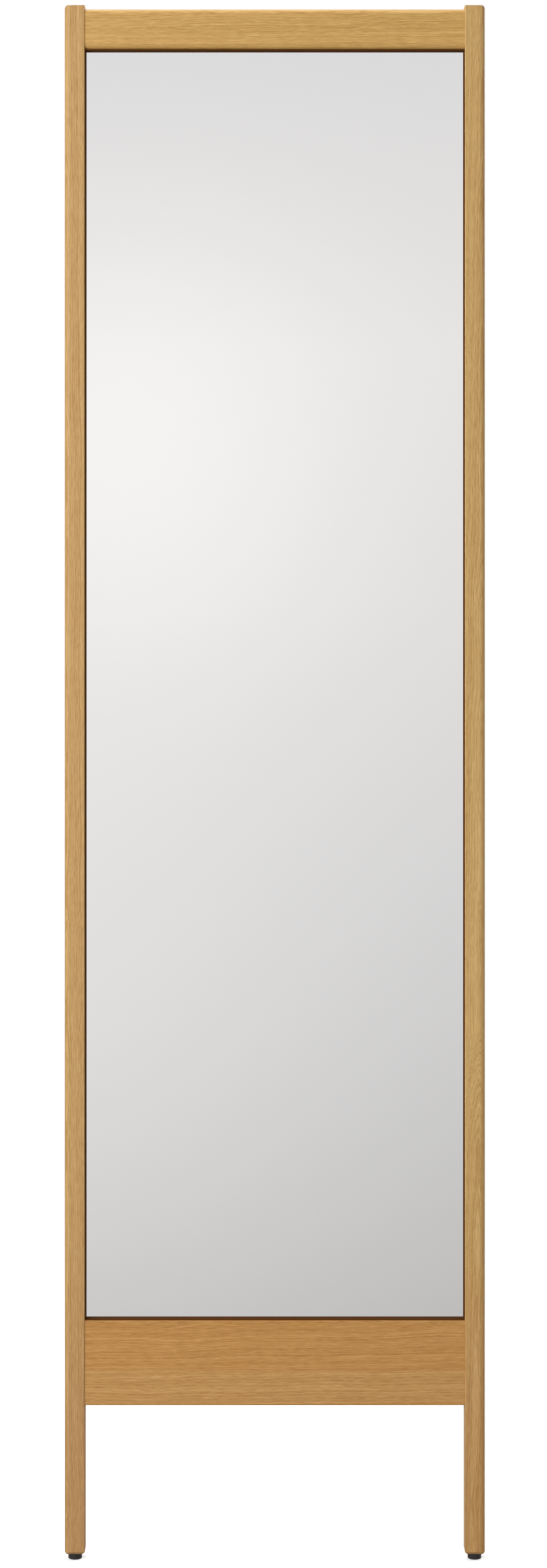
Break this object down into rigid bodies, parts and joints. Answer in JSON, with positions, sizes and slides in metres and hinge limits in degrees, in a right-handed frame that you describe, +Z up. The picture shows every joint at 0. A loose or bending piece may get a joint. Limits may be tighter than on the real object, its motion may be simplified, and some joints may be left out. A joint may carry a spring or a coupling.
{
  "type": "floor mirror",
  "caption": "Tall framed floor mirror with oak stiles that run down as legs, a wide bottom rail and levelling feet.",
  "frame": {"origin": "on the floor, below the middle of the whole part", "axes": "+Z up the mirror, the mirror faces -Y, +X to the right as seen from the front; the part is upright here and is tilted back a few degrees where it leans on a wall"},
  "size_m": [0.52, 0.0306, 1.923],
  "materials": {
    "oak": "oiled, satin",
    "beech": "raw",
    "glazing_strip": "dark brown, matt",
    "setting_block": "matt",
    "mirror_glass": "polished, silvered on the back",
    "safety_film": "satin",
    "foam_tape": "matt",
    "fibreboard": "smooth hardboard",
    "steel": "zinc plated",
    "brass": "turned",
    "foot_plastic": "black, moulded",
    "bumper_rubber": "soft, matt"
  },
  "bodies": {
    "frame": {"left_stile": "oak", "right_stile": "oak", "top_rail": "oak", "bottom_rail": "oak", "top_rail_dowels": "beech", "bottom_rail_dowels": "beech", "top_glazing_strip": "glazing_strip", "bottom_glazing_strip": "glazing_strip", "left_glazing_strip": "glazing_strip", "right_glazing_strip": "glazing_strip", "glass_setting_blocks": "setting_block", "mirror_glass": "mirror_glass", "safety_film": "safety_film", "mounting_tape": "foam_tape", "back_panel": "fibreboard", "back_panel_screws": "steel", "wall_bracket_inserts": "brass", "left_foot_insert": "brass", "right_foot_insert": "brass", "left_wall_bumper": "bumper_rubber", "right_wall_bumper": "bumper_rubber"},
    "left_pad": {"left_foot_pad": "foot_plastic"},
    "left_stem": {"left_foot_stem": "steel"},
    "right_pad": {"right_foot_pad": "foot_plastic"},
    "right_stem": {"right_foot_stem": "steel"}
  },
  "joints": [
    {"name": "left_foot_height", "type": "slide", "parent": "frame", "child": "left_pad", "axis": [0, 0, -1], "range_m": [0, 0.008]},
    {"name": "left_foot_turn", "type": "hinge", "parent": "left_pad", "child": "left_stem", "pos_m": [-0.2475, -0.00125, 0.0026], "axis": [0, 0, -1], "range_deg": [0, 2880]},
    {"name": "right_foot_height", "type": "slide", "parent": "frame", "child": "right_pad", "axis": [0, 0, -1], "range_m": [0, 0.008]},
    {"name": "right_foot_turn", "type": "hinge", "parent": "right_pad", "child": "right_stem", "pos_m": [0.2475, -0.00125, 0.0026], "axis": [0, 0, -1], "range_deg": [0, 2880]}
  ],
  "couplings": [
    {"joint": "left_foot_turn", "follows": "left_foot_height", "rad_per_m": 6283.2},
    {"joint": "right_foot_turn", "follows": "right_foot_height", "rad_per_m": 6283.2}
  ]
}
